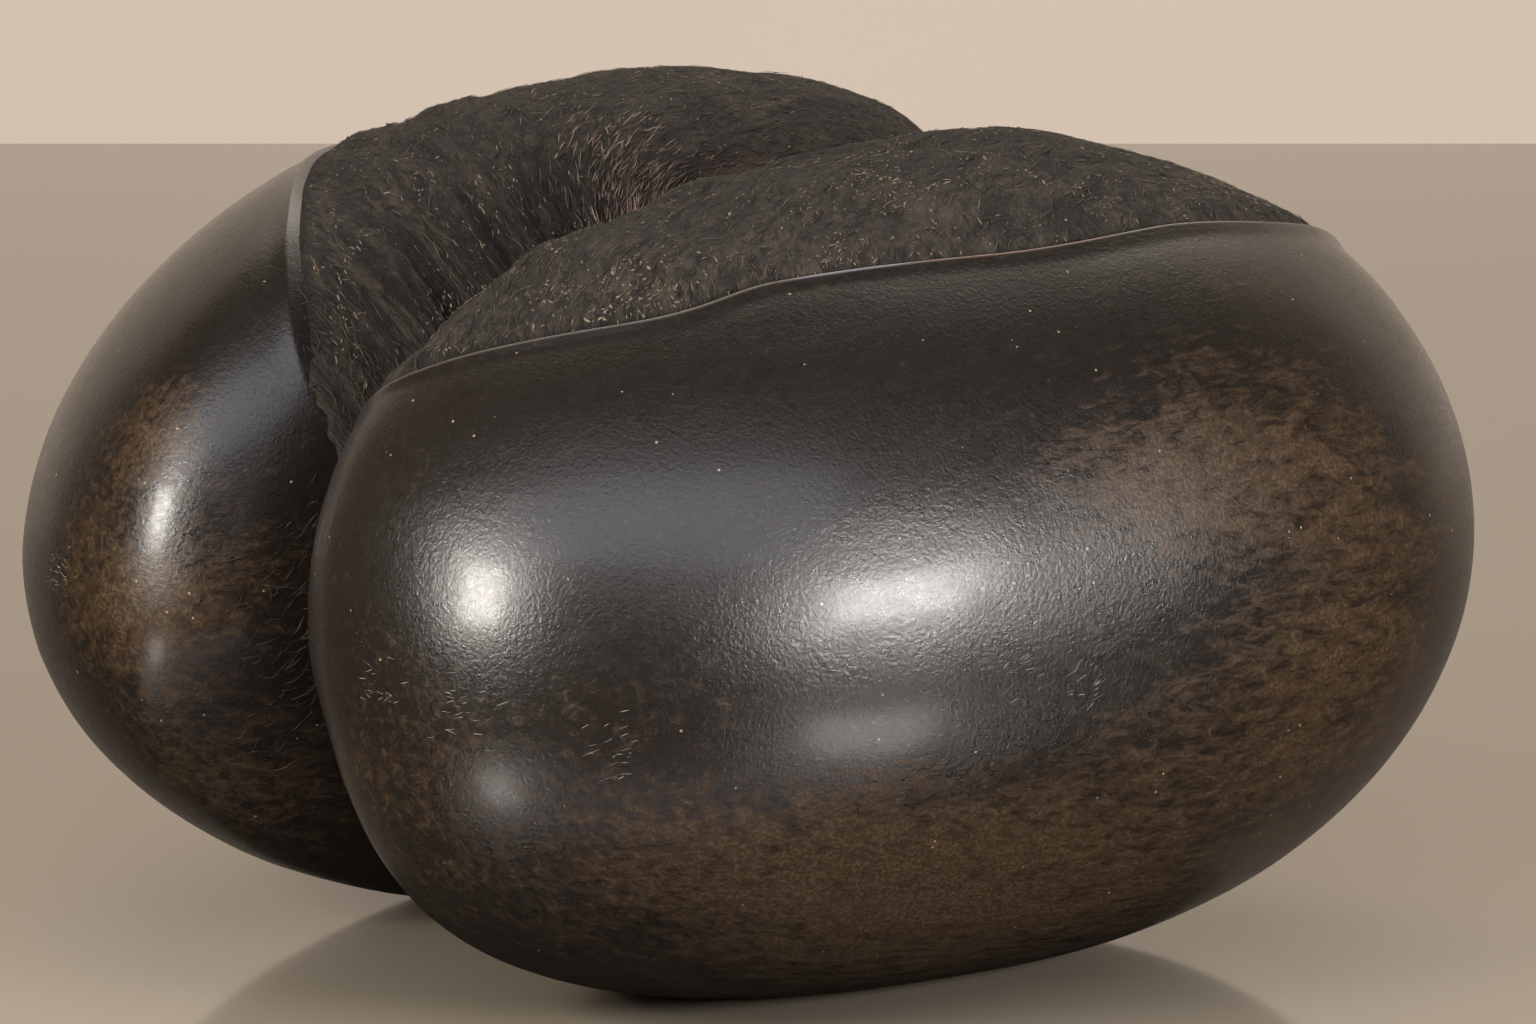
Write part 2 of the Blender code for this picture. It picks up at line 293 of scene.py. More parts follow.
def faceSink(fromLip, turn, ragged):
    # How far the face passes under the shell outside its edge: crisp at the lip, ragged where there is no lip
    lipHere, faceHere = strength(turn, relief["lipTurns"]), strength(turn, relief["faceTurns"])
    ragged = ragged * (1 - lipHere)
    edge = relief["crispEdge"] * lipHere + relief["raggedEdge"] * ragged
    outside = ease((fromLip + edge) / relief["underOver"])
    outside = outside + ease(1 - 2 * faceHere + relief["ragged"] * ragged)
    return relief["faceUnder"] * np.minimum(outside, 1) - relief["faceProud"] * (1 - lipHere)


def halve(far, inside):
    # The reach at which a stretch from 0 to far leaves the nut: it is halved again and again, and the
    # half kept is the one with the surface in it
    near = np.zeros(far.shape)
    for _ in range(nut["halvings"]):
        middle = (near + far) / 2
        kept = inside(middle)
        near, far = np.where(kept, middle, near), np.where(kept, far, middle)
    return (near + far) / 2


def castRays(lobe, directions, height):
    # Where rays from the lobe's middle leave the nut, at which the field equals the relief's height.
    # In the result, y grows outwards.
    start = np.array([nut["rayStartX"], lobe["offMiddle"], 0])

    def inside(reach):
        x, outward, z = np.moveaxis(start + directions * reach[..., None], -1, 0)
        return nutField(x, lobe["side"] * outward, z) < height(lobe, x, outward, z)

    far = np.minimum(nut["rayReach"], start[1] / np.maximum(-directions[..., 1], 1e-6))
    return start + directions * halve(far, inside)[..., None]


def rayDirections(turns, angles):
    # Unit rays: sin angle cos turn, cos angle, sin angle sin turn; the angle is from the outer pole
    sideways = np.sin(angles)
    return np.stack([sideways * np.cos(turns), np.cos(angles), sideways * np.sin(turns)], -1)


def middleAngles(lobe, turns, height):
    # The angle in each column at which the surface meets the middle plane
    def inside(reach):
        x, y, z = nut["rayStartX"] + reach * np.cos(turns), 0 * reach, reach * np.sin(turns)
        return nutField(x, y, z) < height(lobe, x, y, z)

    reach = halve(np.full(len(turns), nut["middleReach"]), inside)
    return math.pi - np.arctan2(reach, lobe["offMiddle"])


def firstReach(angles, values, target):
    # In each column, the angle where rising values first reach the target, between two samples
    after = np.clip((values >= target).argmax(axis=0), 1, len(values) - 1)
    columns = np.arange(values.shape[1])
    low, high = values[after - 1, columns], values[after, columns]
    part = np.clip((target - low) / np.maximum(high - low, 1e-12), 0, 1)
    return angles[after - 1, columns] * (1 - part) + angles[after, columns] * part


def sampleColumns(lobe, turns, height, samples=420):
    # A table of each column from the outer pole to the middle plane: angles, length run and
    # distance from the lip
    last = middleAngles(lobe, turns, height)
    angles = last * np.linspace(0, 1, samples)[:, None]
    points = castRays(lobe, rayDirections(turns, angles), noHeight)
    steps = np.linalg.norm(np.diff(points, axis=0, prepend=points[:1]), axis=2)
    fromLip = distanceToLip(lobe, *np.moveaxis(points, -1, 0))
    return angles, np.cumsum(steps, axis=0), fromLip


def evenAngles(angles, lengths, first, last, shares):
    # Angles that divide the length between first and last into these shares
    columns = np.arange(angles.shape[1])
    place = [np.clip((angles < edge).sum(axis=0), 0, len(angles) - 1) for edge in (first, last)]
    start, end = lengths[place[0], columns], lengths[place[1], columns]
    found = np.array([firstReach(angles, lengths, start + (end - start) * share) for share in shares])
    return np.clip(found, first, last)


def toFrame(lobe, points):
    # From the lobe's mirrored axes to the frame, with the lowest points worn flat
    points = points * [1, lobe["side"], 1] + nut["centre"]
    points[..., 2] = np.maximum(points[..., 2], 0)
    return points


def gridNormals(points, closedRound):
    # Unit normals of a grid of points: the cross product of the steps along and across it
    across = np.gradient(points, axis=0)
    if closedRound:
        along = (np.roll(points, -1, axis=1) - np.roll(points, 1, axis=1)) / 2
    else:
        along = np.gradient(points, axis=1)
    normals = np.cross(across, along)
    return normals / np.maximum(np.linalg.norm(normals, axis=-1, keepdims=True), 1e-12)


# Meshes and materials

def gridTriangles(points, closedRound):
    # Each quad of the grid is split along its shorter diagonal
    rows, columns = points.shape[:2]
    row = np.arange(rows - 1)[:, None] * columns
    column = np.arange(columns if closedRound else columns - 1)[None]
    after = (column + 1) % columns
    a, b, c, d = np.broadcast_arrays(row + column, row + columns + column, row + columns + after, row + after)
    flat = points.reshape(-1, 3)
    shorter = np.linalg.norm(flat[a] - flat[c], axis=-1) < np.linalg.norm(flat[b] - flat[d], axis=-1)
    one = np.stack([a, b, np.where(shorter, c, d)], -1)
    two = np.stack([np.where(shorter, a, b), c, d], -1)
    return np.concatenate([one, two]).reshape(-1, 3)


def addObject(name, data):
    added = bpy.data.objects.new(name, data)
    bpy.context.scene.collection.objects.link(added)
    return added


def makePiece(name, points, triangles, material, **attributes):
    mesh = bpy.data.meshes.new(name)
    mesh.vertices.add(len(points))
    mesh.vertices.foreach_set("co", np.asarray(points, np.float32).ravel())
    mesh.loops.add(3 * len(triangles))
    mesh.loops.foreach_set("vertex_index", np.asarray(triangles, np.int32).ravel())
    mesh.polygons.add(len(triangles))
    mesh.polygons.foreach_set("loop_start", np.arange(0, 3 * len(triangles), 3, dtype=np.int32))
    mesh.update(calc_edges=True)
    mesh.shade_smooth()
    mesh.materials.append(material)
    for key, values in attributes.items():
        attribute = mesh.attributes.new(key, "FLOAT", "POINT")
        attribute.data.foreach_set("value", np.asarray(values, np.float32).ravel())
    piece = addObject(name, mesh)
    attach(piece, "root")
    print(name, len(triangles), "triangles")
    return piece


def addFlowMap(piece, across, along):
    # The UV map runs across and along the fibres, in metres
    corners = np.zeros(len(piece.data.loops), np.int32)
    piece.data.loops.foreach_get("vertex_index", corners)
    flow = np.stack([across[corners], along[corners]], -1)
    piece.data.uv_layers.new(name="flow").data.foreach_set("uv", flow.astype(np.float32).ravel())


class Nodes:
    # Short calls for the node tree of a material or a world
    def __init__(self, name, kind="materials"):
        self.owner = getattr(bpy.data, kind).new(name)
        self.owner.use_nodes = True
        self.tree = self.owner.node_tree

    def plug(self, socket, value):
        # A number or a colour goes into the socket, and anything else is linked to it
        if isinstance(value, tuple):
            socket.default_value = value + (1,)
        elif isinstance(value, (int, float)):
            socket.default_value = value
        else:
            self.tree.links.new(value, socket)

    def add(self, kind, links=None, values=None, **settings):
        node = self.tree.nodes.new("ShaderNode" + kind)
        for key, value in settings.items():
            setattr(node, key, value)
        for socket, value in (values or {}).items():
            node.inputs[socket].default_value = value
        for socket, source in (links or {}).items():
            self.tree.links.new(source, node.inputs[socket])
        return node

    def place(self, scale=(1, 1, 1), turn=(0, 0, 0), uv=False):
        source = self.add("UVMap", uv_map="flow").outputs[0] if uv else self.add("TexCoord").outputs["Object"]
        return self.add("Mapping", {"Vector": source}, {"Scale": scale, "Rotation": turn}).outputs[0]

    def noise(self, where, scale, detail=4, roughness=0.55, distortion=0):
        values = {"Scale": scale, "Detail": detail, "Roughness": roughness, "Distortion": distortion}
        return self.add("TexNoise", {"Vector": where}, values).outputs["Fac"]

    def ramp(self, source, low, high, first=0, last=1):
        values = {"From Min": low, "From Max": high, "To Min": first, "To Max": last}
        return self.add("MapRange", {"Value": source}, values, interpolation_type="SMOOTHSTEP").outputs[0]

    def math(self, operation, first, second):
        node = self.add("Math", operation=operation)
        for socket, value in zip(node.inputs, (first, second)):
            self.plug(socket, value)
        return node.outputs[0]

    def times(self, first, second):
        return self.math("MULTIPLY", first, second)

    def mix(self, share, first, second):
        node = self.add("Mix", data_type="RGBA")
        for place, value in zip((0, 6, 7), (share, first, second)):
            self.plug(node.inputs[place], value)
        return node.outputs[2]

    def attribute(self, name):
        return self.add("Attribute", attribute_name=name).outputs["Fac"]

    def bump(self, height, distance, strength=1, under=None):
        links = {"Height": height}
        if under is not None:
            links["Normal"] = under
        return self.add("Bump", links, {"Distance": distance, "Strength": strength}).outputs[0]

    def finish(self, colour, roughness, **sockets):
        shader = self.tree.nodes["Principled BSDF"]
        for socket, value in dict(sockets, Base_Color=colour, Roughness=roughness).items():
            self.plug(shader.inputs[socket.replace("_", " ")], value)
        return self.owner


# The polished shell

shell = {
    "columns": 360,
    "outerRings": 52,
    "innerRings": 14,
    "lipRings": (0.0080, 0.0062, 0.0047, 0.0035, 0.0026, 0.0019, 0.0013, 0.0008, 0.0004, 0.0001, -0.0002,
                 -0.0005, -0.0008, -0.0011, -0.0014, -0.0017, -0.0022, -0.0030, -0.0042, -0.0056),
    "unevenness": 0.00022,
    # Low swells: share, length, height, width, shift
    "swells": ((0.6, 0.035, 0.022, 0.05, 3), (0.4, 0.016, 0.011, 0.03, 9)),
    "swellsFrom": (0.004, 0.010),
    "poleFromLip": 0.1,  # far enough from the lip to have none of its colour
    "farLipTone": 0.30,  # how strongly the far lobe's lip is coloured
    "farLipEnd": (150, 12),  # degrees: where that colour is gone, and over how many
    "dark": (0.0110, 0.0078, 0.0058),
    "brown": (0.036, 0.0190, 0.0080),
    "tan": (0.090, 0.056, 0.028),
    "speck": (0.30, 0.21, 0.13),
    # The lip's pale colour is a painted highlight along the raised crest, and its violet a painted glint; the
    # pink is the lip's own tint
    "lip": (0.115, 0.094, 0.075),
    "lipVioletGlint": (0.24, 0.21, 0.24),
    "lipPink": (0.19, 0.095, 0.072),
    # The groove's colour is painted shade in the groove behind the lip
    "groove": (0.006, 0.0045, 0.0038),
    # How the patterns lie, lengthwise and streaked: scale and turn
    "lengthwise": ((0.38, 1, 1), (0, 0.35, 0.15)),
    "streaked": ((0.20, 1, 1), (0, 0.30, 0.12)),
    # Noise: scale, detail, roughness, distortion
    "clouds": (30, 5, 0.7, 0.4),
    "mottle": (360, 6, 0.85, 0.8),
    "grain": (1100, 3, 0.7),
    "streaks": (420, 4, 0.65),
    "leather": (640, 3, 0.65, 0.6),
    "wear": (0.55, 1.30, 0.50),  # what clouds, mottle and streaks add to the wear
    "brownFrom": (1.28, 1.56),  # the wear at which brown starts and is whole
    "tanFrom": (1.43, 1.70),
    "tanGrain": (0.46, 0.58),
    "tanMost": 0.75,
    "pits": (0.30, 0.45, 1, 0),
    "pitMost": 0.5,
    "speckScale": 260.0,
    "speckSize": (0.05, 0.10, 1, 0),
    "speckChosen": (0.80, 0.82),
    # Where the lip's colours start, are whole, are still whole and are gone: across it, and along X. The pale
    # crest is a painted highlight, the violet stretch a painted glint, the pink stretch the lip's own tint
    "lipSpan": (-0.0009, -0.0004, 0.0001, 0.0008),
    "violetGlintSpan": (-0.066, -0.058, -0.042, -0.034),
    "pinkSpan": (-0.040, -0.030, 0.004, 0.020),
    "pinkClouds": (0.35, 0.60),
    "lipMost": 0.80,
    "grooveShadeFrom": (-0.0006, -0.0014),
    # Bumps: distance and strength
    "leatherBump": (0.00012, 0.8),
    "grainBump": (0.00015, 0.9),
    "streakBump": (0.00004, 0.8),
    "roughness": (0.3, 0.7, 0.25, 0.37),
    "brownRougher": 0.12,
    # How much browner the nut gets towards the bottom
    "lowBrown": (0.12, 0.005, 0.070),  # how much, below which height, over which depth
    "scratchLean": 0.5,
    # Where the dark polish is worn to brown: the patch's middle from the nut's own, its three half
    # sizes, how much
    "patches": (
        ((-0.014, -0.145, 0.034), (0.026, 0.030, 0.013), 0.30),
        ((0.046, -0.156, -0.007), (0.055, 0.050, 0.036), 0.36),
        ((0.038, -0.148, 0.042), (0.045, 0.040, 0.030), 0.20),
        ((-0.152, 0.030, 0.000), (0.040, 0.030, 0.026), 0.40),
        ((-0.141, 0.033, 0.039), (0.014, 0.012, 0.012), 0.35),
        ((-0.124, 0.030, -0.045), (0.022, 0.018, 0.020), 0.20),
        ((-0.080, -0.125, -0.038), (0.055, 0.050, 0.022), 0.28),
        ((-0.031, -0.124, -0.060), (0.080, 0.060, 0.026), 0.25),
        ((-0.147, -0.069, -0.022), (0.030, 0.030, 0.030), 0.20),
    ),
}


def patina(x, y, z):
    # Browner towards the bottom, and brown in the patches: each patch is a bell round its middle
    most, height, depth = shell["lowBrown"]
    worn = most * ease((height - z) / depth)
    for middle, sizes, amount in shell["patches"]:
        off = [(value - centre) / size for value, centre, size in zip((x, y, z), middle, sizes)]
        worn = worn + amount * np.exp(-(off[0] ** 2 + off[1] ** 2 + off[2] ** 2))
    return worn


def shellMaterial():
    nodes = Nodes("polishedShell")
    lengthwise, streaked = (nodes.place(*shell[key]) for key in ("lengthwise", "streaked"))
    evenly = nodes.place()
    clouds, mottle = (nodes.noise(lengthwise, *shell[key]) for key in ("clouds", "mottle"))
    grain = nodes.noise(evenly, *shell["grain"])
    streaks = nodes.noise(streaked, *shell["streaks"])
    worn = nodes.attribute("patina")
    for pattern, share in zip((clouds, mottle, streaks), shell["wear"]):
        worn = nodes.math("ADD", worn, nodes.times(pattern, share))
    brownShare = nodes.ramp(worn, *shell["brownFrom"])
    tanShare = nodes.times(nodes.ramp(worn, *shell["tanFrom"]), nodes.ramp(grain, *shell["tanGrain"]))
    colour = nodes.mix(brownShare, shell["dark"], shell["brown"])
    colour = nodes.mix(nodes.times(tanShare, shell["tanMost"]), colour, shell["tan"])
    pits = nodes.times(nodes.ramp(grain, *shell["pits"]), shell["pitMost"])
    colour = nodes.mix(pits, colour, shell["dark"])
    specks = nodes.add("TexVoronoi", {"Vector": evenly}, {"Scale": shell["speckScale"]})
    speckShare = nodes.ramp(specks.outputs["Distance"], *shell["speckSize"])
    speckTone = nodes.add("SeparateColor", {"Color": specks.outputs["Color"]}).outputs[0]
    chosen = nodes.ramp(speckTone, *shell["speckChosen"])
    colour = nodes.mix(nodes.times(speckShare, chosen), colour, shell["speck"])
    fromLip, lipHere = nodes.attribute("fromLip"), nodes.attribute("lipHere")
    along = nodes.add("SeparateXYZ", {"Vector": evenly}).outputs[0]

    def between(value, span):
        return nodes.times(nodes.ramp(value, *span[:2]), nodes.ramp(value, *span[2:], 1, 0))

    # The lip's crest is painted paler as a painted highlight, violet in one stretch as a painted glint; the
    # pink stretch is its own tint
    onLip = nodes.times(between(fromLip, shell["lipSpan"]), lipHere)
    # Painted shade: the groove behind the lip is darkened
    grooveShade = nodes.times(nodes.ramp(fromLip, *shell["grooveShadeFrom"]), lipHere)
    pink = nodes.times(between(along, shell["pinkSpan"]), nodes.ramp(clouds, *shell["pinkClouds"]))
    tone = nodes.mix(between(along, shell["violetGlintSpan"]), shell["lip"], shell["lipVioletGlint"])
    tone = nodes.mix(pink, tone, shell["lipPink"])
    colour = nodes.mix(nodes.times(onLip, shell["lipMost"]), colour, tone)
    colour = nodes.mix(grooveShade, colour, shell["groove"])
    normal = nodes.bump(nodes.noise(evenly, *shell["leather"]), *shell["leatherBump"])
    normal = nodes.bump(grain, *shell["grainBump"], normal)
    normal = nodes.bump(streaks, *shell["streakBump"], normal)
    rougher = nodes.times(brownShare, shell["brownRougher"])
    roughness = nodes.math("ADD", nodes.ramp(mottle, *shell["roughness"]), rougher)
    return nodes.finish(colour, roughness, Normal=normal, Coat_Weight=0.20, Coat_Roughness=0.18,
                        Specular_IOR_Level=0.5)


def buildShell():
    # Rings from each lobe's outer pole, close together over the lip, then under the face to the middle plane
    turns = 2 * math.pi * np.arange(shell["columns"]) / shell["columns"]
    halves, lips = [], []
    for lobe in (nearLobe, farLobe):
        angles, lengths, fromLip = sampleColumns(lobe, turns, lipHeight)
        lipAngles = np.array([firstReach(angles, -fromLip, -distance) for distance in shell["lipRings"]])
        outerShares = np.arange(shell["outerRings"]) / shell["outerRings"]
        innerShares = np.arange(1, shell["innerRings"] + 1) / shell["innerRings"]
        outer = evenAngles(angles, lengths, 0 * turns, lipAngles[0], outerShares)
        inner = evenAngles(angles, lengths, lipAngles[-1], angles[-1], innerShares)
        inner[-1] = angles[-1]
        rings = castRays(lobe, rayDirections(turns, np.concatenate([outer, lipAngles, inner])), lipHeight)
        rings[-1, :, 1] = 0
        halves.append(rings)
        lips.append(distanceToLip(lobe, *np.moveaxis(rings, -1, 0)))
    grid = np.concatenate([halves[0] * [1, -1, 1], halves[1][-2::-1]])
    fromLip = np.concatenate([lips[0], lips[1][-2::-1]])
    normals = gridNormals(grid, True)
    swell = sum(share * uneven(grid[..., 0] / length + shift, grid[..., 2] / height + grid[..., 1] / width)
                for share, length, height, width, shift in shell["swells"])
    lift = swell * growth(fromLip, *shell["swellsFrom"]) * shell["unevenness"]
    lift = lift - shellSink(fromLip, *np.moveaxis(grid, -1, 0))
    grid[1:-1] += (normals * lift[..., None])[1:-1]
    grid = grid + nut["centre"]
    grid[..., 2] = np.maximum(grid[..., 2], 0)

    body = grid[1:-1]
    rows, columns = body.shape[:2]
    column = np.arange(columns)
    after = (column + 1) % columns
    pole, lastRow = np.full(columns, rows * columns), (rows - 1) * columns
    nearFan = np.stack([pole, column, after], -1)
    farFan = np.stack([pole + 1, lastRow + after, lastRow + column], -1)
    points = np.concatenate([body.reshape(-1, 3), grid[0, :1], grid[-1, :1]])
    triangles = np.concatenate([gridTriangles(body, True), nearFan, farFan])
    x, y, z = (points - nut["centre"]).T
    turn = turnAboutY(x, z)
    end, over = shell["farLipEnd"]
    lipTone = np.where(y > 0, shell["farLipTone"] * ease((end - turn) / over), 1)
    piece = makePiece("polishedShell", points, triangles, shellMaterial(), patina=patina(x, y, z),
                      fromLip=np.append(fromLip[1:-1], [shell["poleFromLip"]] * 2),
                      lipHere=strength(turn, relief["lipTurns"]) * lipTone)
    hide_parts("seed")
    x, y, z = np.moveaxis(grid - nut["centre"], -1, 0)
    return {"points": grid, "normals": normals, "across": z - shell["scratchLean"] * x, "along": x,
            "fromLip": fromLip, "turn": turnAboutY(x, z)}


# The fibrous face

face = {
    "columns": 470,
    "rings": 196,
    "firstTurn": -24,  # degrees
    "lastTurn": 190,
    "edgeRings": (0.0, -0.0006, -0.0012, -0.0018, -0.0026, -0.0036),
    "overlap": 0.0012,  # how far each half passes under the other, for each of two rings
    "overlapFall": 0.8,
    "tuftWidth": 0.0024,
    "tuftLength": 0.0090,
    "tuftHeight": 0.00042,
    "edgeTufts": 0.2,  # of that height, at the lip
    "tuftsFrom": (0.001, 0.003),
    "tuftBend": 0.8,
    "tuftShares": (0.5, 0.25, 0.5),  # big, small, slow
    # How much closer than the big tufts the small and the slow ones lie, across and along
    "tuftCloser": ((2.3, 1.9), (0.37, 0.45)),
    "tuftShifts": ((11, 4), (5, 8)),
    "bendSize": (5, 1.5),
    "bendSlip": 0.3,
    "border": (0.0005, 0.0070),  # how far the face goes on under the shell, at the lip and elsewhere
    "borderSteps": (0.85, 0.15),
    "ragged": ((0.6, 0.007, 0), (0.4, 0.0028, 5)),  # share, size, shift
    # Where the groove's painted shade lies on the face: how far inside the lip's edge, and how widely
    "grooveShadeBell": (0.0016, 0.0013),
    "foldBell": (0.003, 0.009),
    "foldFromX": (-0.01, 0.02),
    "foldRise": 0.04,
    "unroll": (0.6, 0.10, 0.02),  # steepness, height, softness
    "flowScale": 0.49,
    "nearFlowTurn": 0.21,
    "farLean": (0.60, 0.08),  # how far the far lobe's fibres lean along it as they go down from this height
    # Hollow and ridge colours: painted shade in the hollows between the tufts and painted light on their
    # tops, over the fibres' own uneven tone
    "hollow": (0.0085, 0.0062, 0.0044),
    "ridge": (0.074, 0.055, 0.037),
    "fleck": (0.30, 0.23, 0.155),
    "red": (0.115, 0.046, 0.036),
    "stretch": (1, 0.62, 1),
    # Noise: scale, detail, roughness, distortion
    "fine": (2400, 3, 0.75, 0.5),
    "medium": (540, 5, 0.85, 0.9),
    "broad": (60, 3, 0.6),
    "reliefShadeShare": 0.16,
    "ridgeFrom": (0.40, 0.66),
    "shade": (0.35, 0.70, 0, 0.40),
    "redFrom": (0.42, 0.60),
    "redMost": 0.55,
    "fleckFine": (0.62, 0.72),
    "fleckMedium": (0.48, 0.60),
    "fleckMost": 0.7,
    "grooveShadeMost": 0.85,
    "mediumBump": (0.0017, 0.9),  # distance and strength
    "fineBump": (0.0006, 0.9),
    "roughness": (0.3, 0.7, 0.62, 0.85),
}


def flowCoordinates(lobe, x, outward, z):
    # Across and along the fibres. Far lobe: the square root of the complex number (x from the cleft's
    # end) + i (distance from the middle plane, unrolled down the cleft), so that fibres leave the
    # cleft's edge square and bend over to run along the lobe. Near lobe: straight, a little turned
    # from the X axis.
    steepness, height, softness = face["unroll"]
    unrolled = outward + steepness * (z - height)
    unrolled = 0.5 * (unrolled + np.sqrt(unrolled ** 2 + softness ** 2))
    if lobe is farLobe:
        lean, height = face["farLean"]
        leaning = x - nut["cleftEndX"] + lean * (z - height)
        root = face["flowScale"] * np.sqrt(leaning + 1j * unrolled)
        return root.imag, root.real
    cos, sin = math.cos(face["nearFlowTurn"]), math.sin(face["nearFlowTurn"])
    return cos * unrolled + sin * x, cos * x - sin * unrolled


def tufts(across, along):
    # Short overlapping bumps: three sizes of unevenness, long along the fibres, bent by a slower one
    across, along = across / face["tuftWidth"], along / face["tuftLength"]
    bend = face["tuftBend"] * uneven(across / face["bendSize"][0], along / face["bendSize"][1])
    small, slow = ((closer[0] * across + shift[0], closer[1] * along + shift[1])
                   for closer, shift in zip(face["tuftCloser"], face["tuftShifts"]))
    big = uneven(across + bend, along + face["bendSlip"] * bend)
    bumps = big, uneven(small[0] + bend, small[1]), uneven(*slow) * np.abs(big)
    return sum(share * bump for share, bump in zip(face["tuftShares"], bumps))


def faceMaterial():
    nodes = Nodes("fibrousFace")
    flow = nodes.place(scale=face["stretch"], uv=True)
    fine, medium = (nodes.noise(flow, *face[key]) for key in ("fine", "medium"))
    broad = nodes.noise(nodes.place(), *face["broad"])
    # Painted shade and light: the tufts' relief height darkens the hollows and lightens the ridge tops, and
    # the medium noise adds the fibres' own tone
    height = nodes.times(nodes.attribute("height"), face["reliefShadeShare"])
    ridges = nodes.ramp(nodes.math("ADD", height, medium), *face["ridgeFrom"])
    colour = nodes.mix(ridges, face["hollow"], face["ridge"])
    colour = nodes.mix(nodes.ramp(broad, *face["shade"]), colour, face["hollow"])
    fold = nodes.times(nodes.attribute("fold"), nodes.ramp(broad, *face["redFrom"]))
    colour = nodes.mix(nodes.times(fold, face["redMost"]), colour, face["red"])
    flecks = nodes.times(nodes.ramp(fine, *face["fleckFine"]), nodes.ramp(medium, *face["fleckMedium"]))
    colour = nodes.mix(nodes.times(flecks, face["fleckMost"]), colour, face["fleck"])
    # Painted shade in the groove behind the lip, in the shell's groove colour
    groove = nodes.times(nodes.attribute("groove"), face["grooveShadeMost"])
    colour = nodes.mix(groove, colour, shell["groove"])
    normal = nodes.bump(medium, *face["mediumBump"])
    normal = nodes.bump(fine, *face["fineBump"], normal)
    roughness = nodes.ramp(fine, *face["roughness"])
    return nodes.finish(colour, roughness, Normal=normal, Specular_IOR_Level=0.4)


def buildFace(lobe, name, material):
    # Rings from under the lip to just past the middle plane, then a fan from the border to the lobe's middle
    turns = np.radians(np.linspace(face["firstTurn"], face["lastTurn"], face["columns"]))
    angles, lengths, fromLip = sampleColumns(lobe, turns, faceHeight)
    lipHere = strength(np.degrees(turns), relief["lipTurns"])
    border = face["border"][0] * lipHere + face["border"][1] * (1 - lipHere)
    start, less = face["borderSteps"]
    edges = [border] + [distance * lipHere + border * (1 - lipHere) * (start - less * i)
                        for i, distance in enumerate(face["edgeRings"])]
    edgeAngles = np.array([firstReach(angles, -fromLip, -distance) for distance in edges])
    shares = np.arange(1, face["rings"] + 1) / face["rings"]
    inner = evenAngles(angles, lengths, edgeAngles[-1], angles[-1], shares)
    inner[-1] = angles[-1]
    grid = castRays(lobe, rayDirections(turns, np.concatenate([edgeAngles, inner])), faceHeight)
    grid[-1, :, 1] = 0

    x, outward, z = np.moveaxis(grid, -1, 0)
    across, along = flowCoordinates(lobe, x, outward, z)
    fromLip, turn = distanceToLip(lobe, x, outward, z), turnAboutY(x, z)
    start, over = face["tuftsFrom"]
    onFace = ease((-fromLip - start) / over + (1 - lipHere))
    onFace = face["edgeTufts"] + (1 - face["edgeTufts"]) * onFace
    height = tufts(across, along)
    ragged = sum(share * uneven(x / size, z / size + shift) for share, size, shift in face["ragged"])
    lift = face["tuftHeight"] * onFace * height - faceSink(fromLip, turn, ragged)
    normals = -gridNormals(grid, False)
    grid = grid + normals * lift[..., None]
    grid[-1, :, 1] = 0
    downwards = -np.stack([np.cos(turns), 0 * turns, np.sin(turns)], -1)
    under = face["overlap"] * (face["overlapFall"] * downwards + [0, -1, 0])
    past = [grid[-1] + under, grid[-1] + 2 * under]
    grid = toFrame(lobe, np.concatenate([grid, past]))
    surface = {"points": grid[:-2], "normals": normals * [1, lobe["side"], 1], "across": across,
               "along": along, "fromLip": fromLip, "turn": turn}
    # How strongly the groove's painted shade lies at each point
    groove = lipHere * np.exp(-((fromLip + face["grooveShadeBell"][0]) / face["grooveShadeBell"][1]) ** 2)
    across, along, height, groove = (np.append(np.concatenate([values, values[-1:], values[-1:]]), 0)
                                     for values in (across, along, height, groove))

    rows, columns = grid.shape[:2]
    triangles = gridTriangles(grid, False)
    index = np.arange(rows * columns).reshape(rows, columns)
    loop = np.concatenate([index[0, :-1], index[:-1, -1], index[-1, :0:-1], index[:0:-1, 0]])
    middle = rows * columns
    fan = np.stack([np.full(len(loop), middle), loop, np.roll(loop, -1)], -1)
    triangles = np.concatenate([triangles, fan])
    if lobe is farLobe:
        triangles = triangles[:, ::-1]
    start = toFrame(lobe, np.array([[nut["rayStartX"], lobe["offMiddle"], 0]]))
    points = np.concatenate([grid.reshape(-1, 3), start])
    x, y, z = (points - nut["centre"]).T
    middle, spread = face["foldBell"]
    fold = np.exp(-((y - middle) / spread) ** 2) * growth(x, *face["foldFromX"]) * ease(z / face["foldRise"])
    piece = makePiece(name, points, triangles, material, height=height, groove=groove, fold=fold)
    addFlowMap(piece, across, along)
    return piece, surface


# Fibres, flecks and hairs: slivers that lie on the surface

